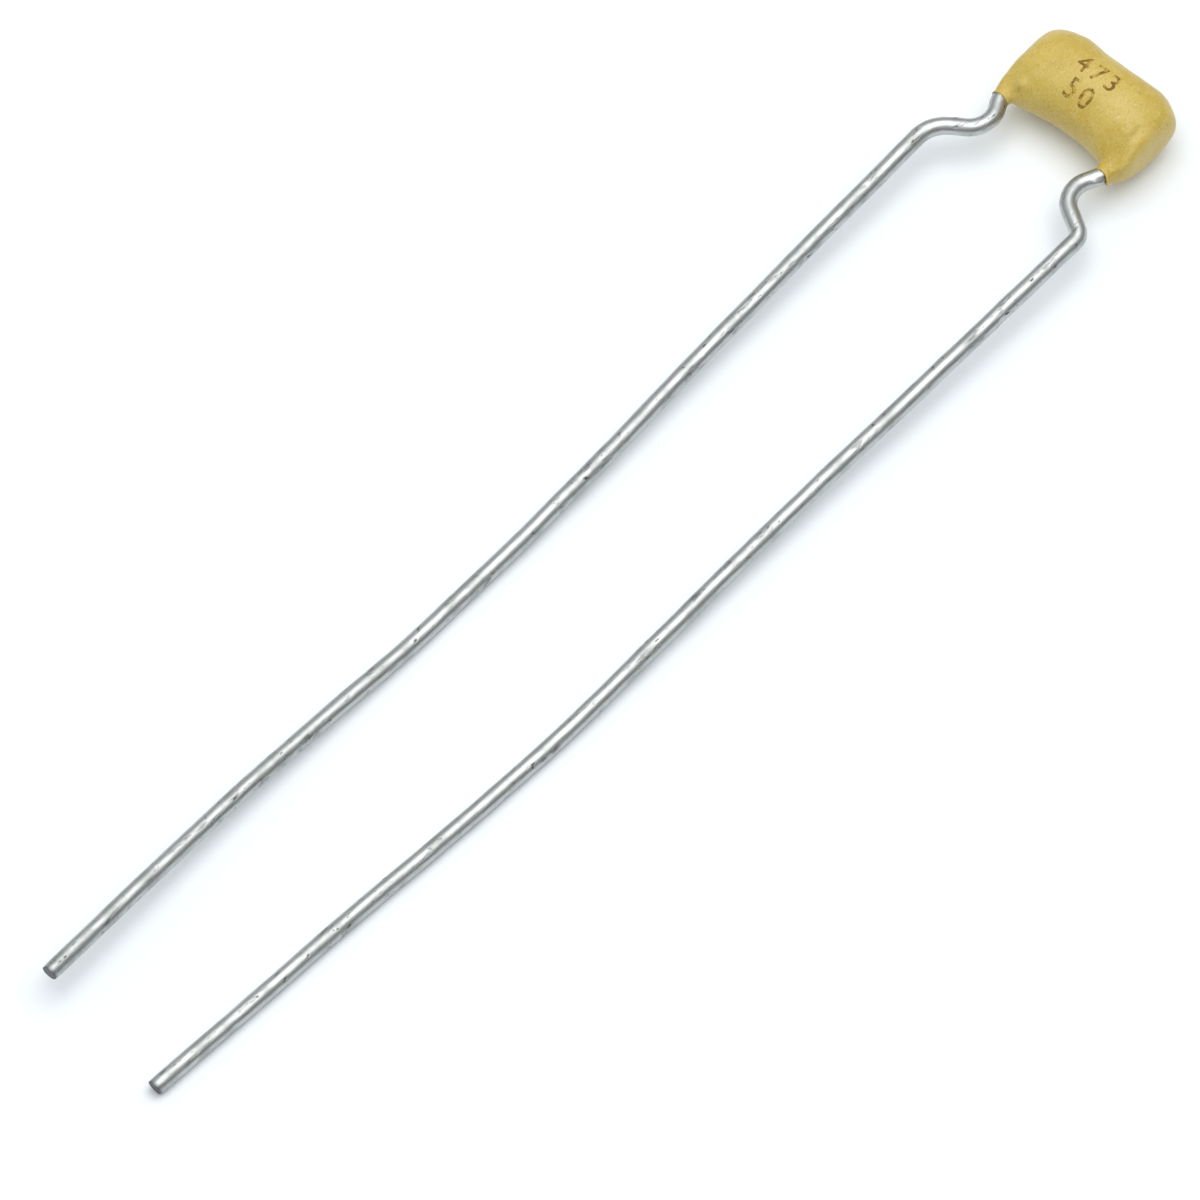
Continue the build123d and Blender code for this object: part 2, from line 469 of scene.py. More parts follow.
class TinFinish(Finish):
    """Drawn tin plating: bright, with faint draw lines, soft tarnish, scuffs and small nicks, and painted
    shade on the cut ends.
    """

    name = "tinned_wire"
    bright: Colour = (0.520, 0.532, 0.520)
    dull: Layer = Layer((0.415, 0.427, 0.415), edge=(0.45, 0.7))
    nick: Layer = Layer((0.120, 0.122, 0.120), edge=(0.66, 0.76))
    scuff: Layer = Layer((0.120, 0.122, 0.120), edge=(0.57, 0.67), share=0.6)
    # The dark colour of the cut ends is painted shade on the end faces.
    cut: Colour = (0.155, 0.158, 0.162)
    draw_lines: Grain = Grain(16.0, layers=3.0, rough=0.6, along=0.12)
    tarnish: Grain = Grain(1.3, layers=4.0, rough=0.6)
    nicks: Grain = Grain(7.0, along=0.45)
    scuffs: Grain = Grain(4.0, layers=5.0, rough=0.7, along=0.30)
    line_height: float = 0.5
    nick_wall: Span = (0.62, 0.76)
    nick_depth: float = 0.8
    scuff_wall: Span = (0.52, 0.70)
    scuff_depth: float = 0.7
    bump_depth: float = 0.012
    bump_share: float = 0.6
    roughness_edge: Span = (0.3, 0.7)
    roughness: Span = (0.32, 0.44)
    cut_roughness: float = 0.2

    def __init__(self) -> None:
        """Wires the draw lines, tarnish, scuffs, nicks and the painted shade on the cut ends."""
        super().__init__()
        graph = self.graph
        tarnish, fleck, scuff = (self.noise(grain) for grain in (self.tarnish, self.nicks, self.scuffs))
        colour: Any = self.bright
        for texture, layer in ((tarnish, self.dull), (fleck, self.nick), (scuff, self.scuff)):
            colour = self.over(colour, texture, layer)
        cut = Field(graph, graph.take("ShaderNodeAttribute", "Fac", attribute_name="cut"))
        height = self.noise(self.draw_lines) * self.line_height
        height = height - graph.smooth(fleck, *self.nick_wall) * self.nick_depth
        height = height - graph.smooth(scuff, *self.scuff_wall) * self.scuff_depth
        self.set(Base_Color=self.mix(cut, colour, self.cut), Metallic=1.0)
        self.set(Normal=self.relief(height, self.bump_depth, self.bump_share))
        roughness = graph.smooth(tarnish, *self.roughness_edge, *self.roughness)
        self.set(Roughness=roughness + cut * self.cut_roughness)


class InkFinish(Finish):
    """Worn brown stamp ink, thin enough in places to show the epoxy below."""

    name = "stamp_ink"
    ink: Colour = (0.225, 0.114, 0.016)
    worn: Layer = Layer((0.590, 0.420, 0.080), edge=(0.44, 0.62))
    wear: Grain = Grain(5.0, layers=4.0, rough=0.7)
    bump_depth: float = 0.006
    bump_share: float = 0.5
    roughness: float = 0.55
    specular: float = 0.25

    def __init__(self) -> None:
        """Wires the wear."""
        super().__init__()
        wear = self.noise(self.wear)
        self.set(Base_Color=self.over(self.ink, wear, self.worn), Roughness=self.roughness)
        self.set(Normal=self.relief(wear, self.bump_depth, self.bump_share), Specular_IOR_Level=self.specular)


class FiredFinish(Finish):
    """A matt fired or soldered surface inside the body: a base colour with darker grains."""

    dark_edge: Span = (0.4, 0.7)
    roughness_edge: Span = (0.3, 0.7)
    roughness_gain: float = 0.15
    bump_depth: float = 0.01
    bump_share: float = 0.4

    def __init__(
        self, name: str, base: Colour, dark: Colour, metal: float, rough: float, grains: float,
    ) -> None:
        """Wires the grains.

        Args:
            name: The material's name.
            base: Its main colour.
            dark: The colour of its grains.
            metal: One for a metal, zero for the ceramic.
            rough: Its roughness.
            grains: Grains for each millimetre.
        """
        self.name = name
        super().__init__()
        grain = self.noise(Grain(grains, layers=3.0, rough=0.6))
        self.set(Base_Color=self.over(base, grain, Layer(dark, self.dark_edge)), Metallic=metal)
        roughness = self.graph.smooth(grain, *self.roughness_edge, rough, rough + self.roughness_gain)
        self.set(Roughness=roughness, Normal=self.relief(grain, self.bump_depth, self.bump_share))


@dataclass(frozen=True)
class Seat:
    """The line where the wires leave the body, at half the body's height."""

    origin: Vector

    @classmethod
    def from_frame(cls, chip_above: float) -> "Seat":
        """Finds the seat from the ceramic block.

        Args:
            chip_above: How far above the line the block starts, in millimetres.

        Returns:
            The seat, in metres.
        """
        low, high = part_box("ceramic_chip")
        middle = (low + high) / 2
        return cls(Vector((low.x - chip_above * MM, middle.y, middle.z)))

    def table(self) -> float:
        """How far the table lies below the seat, in millimetres."""
        return self.origin.z / MM


@dataclass(frozen=True)
class Lump:
    """A low lump on the body's top edge."""

    name: str
    across: float
    spread: float
    rise: float


@dataclass(frozen=True)
class Ridge:
    """A soft ridge that runs up the body's upper side, or a groove where its rise is below zero."""

    name: str
    across: float
    spread: float
    rise: float
    start: float
    end: float


@dataclass(frozen=True)
class Hollow:
    """A small round hollow in the skin."""

    name: str
    centre: Place
    spread: float
    depth: float


@dataclass
class Coating:
    """The dipped body: a pillow with superellipse ends, drawn in to a leg on each wire.

    A fade is where up the body something starts and where it has come to its full. The ridges fade from the
    table side of the body to its upper side in the same way.
    """

    seat: Seat
    half_width: float = 2.32
    middle: float = -0.1
    half_thickness: float = 1.15
    top: float = 2.86
    top_hollow: float = 0.1
    lumps: tuple[Lump, ...] = (
        Lump("Left Lump", across=1.0, spread=0.45, rise=0.065),
        Lump("Right Lump", across=-1.6, spread=0.35, rise=0.065),
    )
    shoulder_drop: float = 1.0
    shoulder_power: float = 3.5
    leg_length: float = 0.44
    arch_power: float = 2.35
    heel_rise: float = 2.0
    heel_power: float = 6.75
    left_run_down: float = 0.09
    right_run_down: float = 0.25
    run_down_at: float = 2.02
    run_down_spread: float = 0.28
    flank: Span = (-2.05, -2.42)
    flank_lift: float = 0.25
    thickest_share: float = 0.55
    top_corner_share: float = 0.67
    low_corner_share: float = 0.54
    end_corner_gain: float = 0.22
    end_corner_from: float = 0.78
    wire_offset: float = WIRE_OFFSET
    wire_radius: float = WIRE_RADIUS
    leg_pinch_share: float = 0.42
    leg_pinch_fade: Span = (0.1, 1.15)
    leg_spread: float = 0.55
    sleeve_skin: float = 0.03
    sleeve_flare: float = 0.13
    sleeve_flare_fade: Span = (0.05, 0.6)
    sleeve_blend: float = 0.09
    sleeve_sink_fade: Span = (0.7, 1.6)
    sleeve_sink_radii: float = 3.0
    wire_axis_gap: float = 0.001
    end_rib: float = 0.02
    wave_seed: Place = (7.0, 3.0, 11.0)
    waves: Grain = Grain(0.8, layers=1.0)
    wave_height: float = 0.08
    ripples: Grain = Grain(4.5)
    ripple_height: float = 0.012
    ridges: tuple[Ridge, ...] = (
        Ridge("Right Ridge", across=-2.06, spread=0.14, rise=0.055, start=0.1, end=1.7),
        Ridge("Right Flank", across=-2.33, spread=0.14, rise=-0.05, start=0.1, end=1.7),
        Ridge("Left Rib", across=1.93, spread=0.17, rise=0.05, start=0.15, end=1.15),
    )
    ridge_start_fade: Span = (-0.1, 0.2)
    ridge_end_fade: float = 0.5
    ridge_side_fade: Span = (-0.7, 0.5)
    hollows: tuple[Hollow, ...] = (
        Hollow("Inner Hollow", centre=(0.47, 1.52, 0.55), spread=0.15, depth=0.10),
        Hollow("Leg Hollow", centre=(0.10, 1.55, 0.20), spread=0.12, depth=0.05),
    )
    weld: float = 0.0005
    around: int = 208
    across: int = 240
    piece: bpy.types.Object = field(init=False)

    def rounding(self, tree: Tree, name: str, power: float, size: Field) -> Field:
        """Rounds off towards the body's ends by a superellipse: one in the middle, zero at an end."""
        return (1.0 - size ** tree.number(name, power)) ** (1.0 / power)

    def edges(self, tree: Tree, share: Field, y: Field, shoulder: Field) -> tuple[Field, Field]:
        """Draws the body's top edge and its low edge, from one end of the body to the other.

        Args:
            tree: The tree that they are drawn in.
            share: The place across the body, from minus one to one.
            y: The same place in millimetres.
            shoulder: The rounding of the shoulders there.

        Returns:
            How far up the top edge and the low edge lie.
        """
        graph, number = tree.graph, tree.number
        size = graph.math("ABSOLUTE", share)
        drop = number("Shoulder Drop", self.shoulder_drop) * (1.0 - shoulder)
        top = number("Top", self.top) + share * share * number("Top Hollow", self.top_hollow) - drop
        for lump in self.lumps:
            top = top + graph.bell((y - number(lump.name, lump.across)) / lump.spread) * lump.rise
        wire_share = size * number("Half Width", self.half_width) / number("Wire Offset", self.wire_offset)
        arch = number("Leg Length", self.leg_length) * (1.0 - wire_share ** self.arch_power)
        heel = self.rounding(tree, "Heel Power", self.heel_power, size)
        low = arch + number("Heel Rise", self.heel_rise) * (1.0 - heel)
        for side, run_down in ((Side.LEFT, self.left_run_down), (Side.RIGHT, self.right_run_down)):
            off_leg = (y - side.value * self.run_down_at) / self.run_down_spread
            low = low - graph.bell(off_leg) * run_down
        return top, low + graph.smooth(y, *self.flank) * number("Flank Lift", self.flank_lift)

    def pillow(self, tree: Tree) -> Socket:
        """Draws the pillow by its rule, with its legs pinched about the wires.

        Args:
            tree: The tree that it is drawn in.

        Returns:
            The closed pillow.
        """
        graph = tree.graph
        counts = {
            "Size X": 1.0, "Size Y": 1.0,
            "Vertices X": tree.given("Around", self.around, "Int"),
            "Vertices Y": tree.given("Across", self.across, "Int"),
        }
        grid = graph.add("GeometryNodeMeshGrid", counts)
        ring, span, _ = graph.split(grid.outputs["UV Map"])
        share = graph.math("SINE", (span * 2.0 - 1.0) * (math.pi / 2))
        size = graph.math("ABSOLUTE", share)
        y = share * tree.number("Half Width", self.half_width) + self.middle
        shoulder = self.rounding(tree, "Shoulder Power", self.shoulder_power, size)
        top, low = self.edges(tree, share, y, shoulder)
        thickest = low + (top - low) * tree.number("Thickest Share", self.thickest_share)
        crown = tree.number("Half Thickness", self.half_thickness) * shoulder
        # Each quarter of the ring is a cubic arc about one corner, whose two middle terms count three times.
        turn = graph.math("PINGPONG", ring * 4.0, 1.0)
        back = 1.0 - turn
        upper = graph.math("GREATER_THAN", graph.math("ABSOLUTE", ring - 0.5), 0.25)
        end_gain = graph.smooth(size, self.end_corner_from, 1.0) * self.end_corner_gain
        low_corner = self.low_corner_share + end_gain
        corner = upper * (self.top_corner_share - low_corner) + low_corner
        reach = back * back * back + back * back * turn * 3.0 + back * turn * turn * corner * 3.0
        lift = back * back * turn * corner * 3.0 + back * turn * turn * 3.0 + turn * turn * turn
        x = thickest + (low + (top - low) * upper - thickest) * reach
        z = crown * lift * graph.math("SIGN", 0.5 - ring)
        above = graph.smooth(x, *self.leg_pinch_fade)
        for side in Side:
            beside = graph.bell((y - side.value * self.wire_offset) / self.leg_spread)
            z = z * (1.0 - beside * (1.0 - above) * self.leg_pinch_share)
        return tree.welded(tree.moved(grid.outputs["Mesh"], Position=graph.combine(x, y, z)), self.weld)

    def sleeves(self, tree: Tree, shape: Socket) -> Socket:
        """Swells the skin to a sleeve over each wire, with soft fillets beside it.

        Args:
            tree: The tree that it is made in.
            shape: The pillow.

        Returns:
            The pillow with its two sleeves.
        """
        graph = tree.graph
        x, y, z = graph.split(tree.place())
        skin = tree.number("Sleeve Skin", self.sleeve_skin) + self.wire_radius
        flare = tree.number("Sleeve Flare", self.sleeve_flare)
        radius = skin + graph.smooth(x, *self.sleeve_flare_fade) * flare
        radius = radius - graph.smooth(x, *self.sleeve_sink_fade) * self.wire_radius * self.sleeve_sink_radii
        for side in Side:
            wire_y = side.value * self.wire_offset
            off = y - wire_y
            distance = graph.math("MAXIMUM", graph.math("SQRT", off * off + z * z), self.wire_axis_gap)
            swell = graph.math("SMOOTH_MAX", distance, radius, self.sleeve_blend) / distance
            y = off * swell + wire_y
            z = z * swell
        y = graph.math("SMOOTH_MIN", y, self.half_width + self.middle + self.end_rib, self.sleeve_blend)
        return tree.moved(shape, Position=graph.combine(x, y, z))

    def unevenness(self, tree: Tree, shape: Socket) -> Socket:
        """Adds the slow waves of a dipped skin, the ridges up its legs and the hollows beside the left one.

        Args:
            tree: The tree that it is made in.
            shape: The body.

        Returns:
            The uneven body.
        """
        graph = tree.graph
        place = tree.place()
        x, y, z = graph.split(place)
        shifted = graph.vector("ADD", place, tree.given("Wave Seed", self.wave_seed, "Vector"))
        waves = (graph.noise(shifted, self.waves) - 0.5) * tree.number("Wave Height", self.wave_height)
        ripples = graph.noise(shifted, self.ripples) - 0.5
        height = waves + ripples * tree.number("Ripple Height", self.ripple_height)
        fade_low, fade_high = self.ridge_start_fade
        for ridge in self.ridges:
            bump = graph.bell((y - tree.number(ridge.name, ridge.across)) / ridge.spread)
            started = graph.smooth(x, ridge.start + fade_low, ridge.start + fade_high)
            window = started * graph.smooth(x, ridge.end, ridge.end - self.ridge_end_fade)
            height = height + bump * (window * graph.smooth(z, *self.ridge_side_fade)) * ridge.rise
        for hollow in self.hollows:
            away = graph.distance(place, tree.given(hollow.name, hollow.centre, "Vector")) / hollow.spread
            height = height - graph.bell(away) * hollow.depth
        normal = graph.take("GeometryNodeInputNormal", "Normal")
        return tree.moved(shape, Offset=graph.scaled(normal, height))

    def rested(self, tree: Tree, shape: Socket) -> Socket:
        """Keeps the body on the table: nothing of it lies lower.

        Args:
            tree: The tree that it is made in.
            shape: The body.

        Returns:
            The resting body.
        """
        graph = tree.graph
        x, y, z = graph.split(tree.place())
        above = graph.math("MAXIMUM", z, tree.number("Table", -self.seat.table()))
        return tree.moved(shape, Position=graph.combine(x, y, above))

    def build(self, finish: Finish) -> bpy.types.Object:
        """Makes the body's mesh.

        Args:
            finish: What it is dipped in.

        Returns:
            The finished piece.
        """
        tree = Tree("dipped_body")
        shape = self.unevenness(tree, self.sleeves(tree, self.pillow(tree)))
        tree.finish(self.rested(tree, shape), self.seat.origin, finish.material)
        self.piece = tree.make("coating_skin")
        return self.piece

    def dress(self) -> None:
        """Puts the body in the place of its plain solid."""
        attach(self.piece, BODY)
        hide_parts("epoxy_coating")


@dataclass
class Lead:
    """One formed wire: level runs through its kink, a fall to the table and a rise to its cropped tip.

    Each run holds how far down the wire it goes and how far out it ends. The depths of dents and nicks, the
    rise of beads and the pinch of the tip are shares of the wire's radius.
    """

    seat: Seat
    side: Side
    level: tuple[Span, ...]
    fall: tuple[Span, ...]
    rise: tuple[Span, ...]
    tip_lift: float
    kink_radius: float
    bow: float
    bow_between: Span
    seed: float
    beads: tuple[Place, ...] = ()
    bead_radius: float = 0.07
    bead_rise: float = 0.22
    wire_radius: float = WIRE_RADIUS
    wire_offset: float = WIRE_OFFSET
    wire_top: float = 2.15
    exit_bend_below: float = 0.05
    exit_radius: float = 0.45
    turn_radius: float = 0.8
    sway_radius: float = 100.0
    floor_radius: float = 45.0
    dip_rounds: int = 12
    bow_fade: float = 5.0
    waves: Grain = Grain(0.3, layers=1.0)
    wave_seed_yz: Span = (2.0, 5.0)
    waviness: float = 0.07
    wave_fade: Span = (0.0, -2.5)
    upright_share: float = 0.3
    dent_seed_yz: Span = (9.0, 1.0)
    dents: Grain = Grain(2.4, along=0.5)
    dent_depth: float = 0.08
    nicks: Grain = Grain(4.0)
    nick_edge: Span = (0.66, 0.80)
    nick_depth: float = 0.09
    tip_reach: float = 0.28
    tip_pinch: float = 0.08
    tip_lean: float = -0.2
    cut_from: float = 0.80
    arc_steps: int = 24
    ring_step: float = 0.06
    around: int = 36
    piece: bpy.types.Object = field(init=False)

    def corner_dip(self) -> float:
        """Works out the corner at the table, which has to lie lower than the arc that rounds it.

        Returns:
            How far it lies below the resting wire.
        """
        fall_run = sum(run for run, _ in self.fall)
        rise_run = sum(run for run, _ in self.rise)
        drop = self.seat.table() - self.wire_radius
        dip = 0.0
        for _ in range(self.dip_rounds):
            dip = self.floor_radius / 2 * (drop + dip) / fall_run * (self.tip_lift + dip) / rise_run
        return dip

    def corners(self) -> list[Vector]:
        """Works out the corners of the wire's centre line.

        Returns:
            The corners, from inside the body to the tip.
        """
        dip = self.corner_dip()
        drop = self.seat.table() - self.wire_radius + dip
        slopes = (
            (self.level, 0.0),
            (self.fall, -drop / sum(run for run, _ in self.fall)),
            (self.rise, (self.tip_lift + dip) / sum(run for run, _ in self.rise)),
        )
        wire_y = self.side.value * self.wire_offset
        route = [Vector((self.wire_top, wire_y, 0.0)), Vector((-self.exit_bend_below, wire_y, 0.0))]
        x = z = 0.0
        for runs, slope in slopes:
            for run, out in runs:
                x -= run
                z += slope * run
                route.append(Vector((x, self.side.value * (self.wire_offset + out), z)))
        return route

    def route_mesh(self) -> bpy.types.Mesh:
        """Makes the route as a chain of edges.

        Returns:
            The chain, which carries each corner's bend radius.
        """
        corners = self.corners()
        radii = [0.0, self.exit_radius, self.turn_radius, self.kink_radius]
        radii += [self.sway_radius] * (len(self.fall) - 1) + [self.floor_radius]
        radii += [self.sway_radius] * (len(self.rise) - 1) + [0.0]
        mesh = bpy.data.meshes.new("lead_route")
        mesh.from_pydata(corners, [(place, place + 1) for place in range(len(corners) - 1)], [])
        mesh.attributes.new("bend", "FLOAT", "POINT").data.foreach_set("value", radii)
        return mesh

    def centre_line(self, tree: Tree) -> Socket:
        """Rounds the route's corners and gives the wire its slight waviness and bow.

        Args:
            tree: The tree that it is made in.

        Returns:
            The centre line, which carries its own place as an attribute.
        """
        graph = tree.graph
        arcs = {
            "Curve": graph.take("GeometryNodeMeshToCurve", "Curve", {"Mesh": tree.geometry()}),
            "Count": tree.given("Arc Steps", self.arc_steps, "Int"),
            "Radius": tree.attribute("bend", "FLOAT"),
            "Limit Radius": False,
        }
        rounded = graph.take("GeometryNodeFilletCurve", "Curve", arcs, mode="POLY")
        steps = {"Curve": rounded, "Length": tree.given("Ring Step", self.ring_step)}
        even = graph.take("GeometryNodeResampleCurve", "Curve", steps, mode="LENGTH")
        place = tree.place()
        x = graph.split(place)[0]
        seed = tree.given("Wave Seed", (self.seed, *self.wave_seed_yz), "Vector")
        wave = graph.texture(graph.vector("ADD", place, seed), self.waves).outputs["Color"]
        _, across, up = graph.split(graph.vector("SUBTRACT", wave, (0.5, 0.5, 0.5)))
        height = tree.number("Waviness", self.waviness) * graph.smooth(x, *self.wave_fade)
        start, end = self.bow_between
        bowed = graph.smooth(x, start, start - self.bow_fade) * graph.smooth(x, end, end + self.bow_fade)
        sideways = across * height + bowed * tree.number("Bow", self.bow)
        wavy = tree.moved(even, Offset=graph.combine(0.0, sideways, up * height * self.upright_share))
        return tree.stored(wavy, "centre", tree.place(), "FLOAT_VECTOR")

    def dented(self, tree: Tree, place: Socket) -> Field:
        """Works out the wire's long dents, its nicks and the small beads on it.

        Args:
            tree: The tree that they are made in.
            place: Each point's place on the round wire.

        Returns:
            How far the skin rises there, as a share of the wire's radius.
        """
        graph = tree.graph
        seed = tree.given("Dent Seed", (self.seed, *self.dent_seed_yz), "Vector")
        shifted = graph.vector("ADD", place, seed)
        nicks = graph.smooth(graph.noise(shifted, self.nicks), *self.nick_edge)
        dent = tree.number("Dent Depth", self.dent_depth) * (0.5 - graph.noise(shifted, self.dents))
        dent = dent - nicks * tree.number("Nick Depth", self.nick_depth)
        for count, bead in enumerate(self.beads, start=1):
            away = graph.distance(place, tree.given(f"Bead {count}", bead, "Vector")) / self.bead_radius
            dent = dent + graph.bell(away) * tree.number(f"Bead {count} Rise", self.bead_rise)
        return dent

    def wire(self, tree: Tree, line: Socket) -> Socket:
        """Draws round wire along the centre line, with dents, and pinches its cropped tip.

        Args:
            tree: The tree that it is made in.
            line: The centre line.

        Returns:
            The closed wire, which carries its cut end as an attribute, for the painted shade there.
        """
        graph = tree.graph
        ring = {
            "Resolution": tree.given("Around", self.around, "Int"),
            "Radius": tree.given("Wire Radius", self.wire_radius),
        }
        circle = graph.take("GeometryNodeCurvePrimitiveCircle", "Curve", ring)
        sweep = {"Curve": line, "Profile Curve": circle, "Fill Caps": True}
        swept = graph.take("GeometryNodeCurveToMesh", "Mesh", sweep)
        centre = tree.attribute("centre", "FLOAT_VECTOR")
        place = tree.place()
        radial = graph.vector("SUBTRACT", place, centre)
        x, y, z = graph.split(graph.scaled(radial, self.dented(tree, place) + 1.0))
        tip = tree.given("Tip", tuple(self.corners()[-1]), "Vector")
        at_tip = graph.smooth(graph.distance(centre, tip), self.tip_reach, 0.0)
        pinch = 1.0 - at_tip * at_tip * tree.number("Tip Pinch", self.tip_pinch)
        shear = z * at_tip * tree.number("Tip Lean", self.tip_lean)
        shaped = graph.vector("ADD", centre, graph.combine(x + shear, y * pinch, z))
        # The stored cut end is where the tin finish paints shade.
        marked = tree.stored(swept, "cut", graph.smooth(at_tip, self.cut_from, 1.0), "FLOAT")
        return tree.moved(marked, Position=shaped)

    def build(self, finish: Finish) -> bpy.types.Object:
        """Makes the wire's mesh.

        Args:
            finish: Its plating.

        Returns:
            The finished piece.
        """
        name = f"wire_{self.side.name.lower()}"
        tree = Tree(name + "_drawing")
        tree.finish(self.wire(tree, self.centre_line(tree)), self.seat.origin, finish.material)
        self.piece = tree.make(name, self.route_mesh())
        return self.piece

    def dress(self) -> None:
        """Puts the wire in the place of its plain solid."""
        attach(self.piece, BODY)
        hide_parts(f"lead_{self.side.name.lower()}")


@dataclass(frozen=True)
class Row:
    """A row of digits: how far up the body it stands, and where across the body it starts."""

    text: str
    up: float
    start: float


@dataclass
class Marking:
    """Plain stamped digits on the body's upper face, dropped there by rays counted in body half heights."""

    seat: Seat
    rows: tuple[Row, ...] = (Row("473", up=1.58, start=0.60), Row("50", up=0.83, start=0.42))
    digit_height: float = 0.80
    digit_spacing: float = 1.25
    outline_step: float = 0.03
    finer_steps: int = 2
    ink_spread: float = 0.006
    ink_thickness: float = 0.004
    weld: float = 0.0002
    ray_start: float = 2.0
    ray_length: float = 3.0
    pieces: list[bpy.types.Object] = field(default_factory=list)

    def digits(self, tree: Tree, text: str) -> Socket:
        """Writes the digits flat, with strokes that the ink has spread a little.

        Args:
            tree: The tree that they are made in.
            text: The digits.

        Returns:
            Their flat faces.
        """
        graph = tree.graph
        letters = {
            "String": tree.given("Digits", text, "String"),
            "Size": tree.given("Height", self.digit_height),
            "Character Spacing": self.digit_spacing,
        }
        curves = graph.take("GeometryNodeStringToCurves", "Curve Instances", letters)
        real = graph.take("GeometryNodeRealizeInstances", "Geometry", {"Geometry": curves})
        steps = {"Curve": real, "Length": tree.given("Outline Step", self.outline_step)}
        outline = graph.take("GeometryNodeResampleCurve", "Curve", steps, mode="LENGTH")
        outward = graph.vector("CROSS_PRODUCT", graph.take("GeometryNodeInputTangent", "Tangent"), UP)
        heavy = tree.moved(outline, Offset=graph.scaled(outward, tree.number("Ink Spread", self.ink_spread)))
        filled = graph.take("GeometryNodeFillCurve", "Mesh", {"Curve": heavy}, mode="TRIANGLES")
        return graph.take("GeometryNodeSubdivideMesh", "Mesh", {"Mesh": filled, "Level": self.finer_steps})

    def laid(self, tree: Tree, flat: Socket, row: Row, body: bpy.types.Object) -> Socket:
        """Drops flat digits on the body's upper face.

        Args:
            tree: The tree that they are made in.
            flat: The flat digits.
            row: Their place.
            body: The coated body.

        Returns:
            The faces that lie on the body.
        """
        graph = tree.graph
        target = {"Object": tree.given("Body", body, "Object")}
        local = {
            "Geometry": graph.take("GeometryNodeObjectInfo", "Geometry", target, transform_space="ORIGINAL"),
            "Translation": tuple(-value / MM for value in self.seat.origin),
            "Scale": (1 / MM,) * 3,
        }
        along, upward, _ = graph.split(tree.place())
        height = self.seat.table()
        rays = {
            "Target Geometry": graph.take("GeometryNodeTransform", "Geometry", local),
            "Source Position": graph.combine(upward + row.up, row.start - along, height * self.ray_start),
            "Ray Direction": DOWN,
            "Ray Length": height * self.ray_length,
        }
        hit = graph.add("GeometryNodeRaycast", rays)
        lifted = graph.scaled(hit.outputs["Hit Normal"], self.ink_thickness / 2)
        return tree.moved(flat, Position=graph.vector("ADD", hit.outputs["Hit Position"], lifted))

    def thickened(self, tree: Tree, face: Socket) -> Socket:
        """Gives laid digits their thickness and closes them below.

        Args:
            tree: The tree that they are made in.
            face: The faces that lie on the body.

        Returns:
            The closed digits.
        """
        graph = tree.graph
        thick = {"Mesh": face, "Offset Scale": self.ink_thickness, "Individual": False}
        join = graph.add("GeometryNodeJoinGeometry")
        graph.feed(join.inputs["Geometry"], graph.take("GeometryNodeExtrudeMesh", "Mesh", thick))
        graph.feed(join.inputs["Geometry"], graph.take("GeometryNodeFlipFaces", "Mesh", {"Mesh": face}))
        return tree.welded(join.outputs["Geometry"], self.weld)

    def build(self, finish: Finish, body: bpy.types.Object) -> list[bpy.types.Object]:
        """Stamps every row.

        Args:
            finish: The ink.
            body: The coated body.

        Returns:
            The rows.
        """
        for count, row in enumerate(self.rows, start=1):
            tree = Tree(f"stamp_{row.text}")
            digits = self.laid(tree, self.digits(tree, row.text), row, body)
            tree.finish(self.thickened(tree, digits), self.seat.origin, finish.material)
            self.pieces.append(tree.make(f"stamp_row_{count}"))
        return self.pieces

    def dress(self) -> None:
        """Keeps each row on the body."""
        for row in self.pieces:
            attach(row, BODY)


@dataclass
class Inside:
    """The sealed chip: its solids keep their shape and get their own finishes."""

    finishes: dict[str, Finish] = field(default_factory=dict)

    def build(self) -> None:
        """Makes the finishes of the chip, its plates, its caps and the solder."""
        self.finishes["ceramic_chip"] = FiredFinish(
            "fired_ceramic", (0.40, 0.29, 0.19), (0.24, 0.16, 0.10), metal=0.0, rough=0.6, grains=9.0)
        plate = FiredFinish(
            "printed_nickel", (0.42, 0.40, 0.36), (0.26, 0.25, 0.23), metal=1.0, rough=0.4, grains=14.0)
        cap = FiredFinish(
            "tinned_cap", (0.62, 0.62, 0.60), (0.45, 0.45, 0.43), metal=1.0, rough=0.35, grains=8.0)
        solder = FiredFinish(
            "solder_fillet", (0.55, 0.55, 0.54), (0.38, 0.38, 0.37), metal=1.0, rough=0.25, grains=5.0)
        for side in Side:
            for piece, finish in (("electrodes", plate), ("termination", cap), ("solder", solder)):
                self.finishes[f"{piece}_{side.name.lower()}"] = finish

    def dress(self) -> None:
        """Gives each solid its finish."""
        for node, finish in self.finishes.items():
            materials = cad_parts[node].data.materials
            materials.clear()
            materials.append(finish.material)


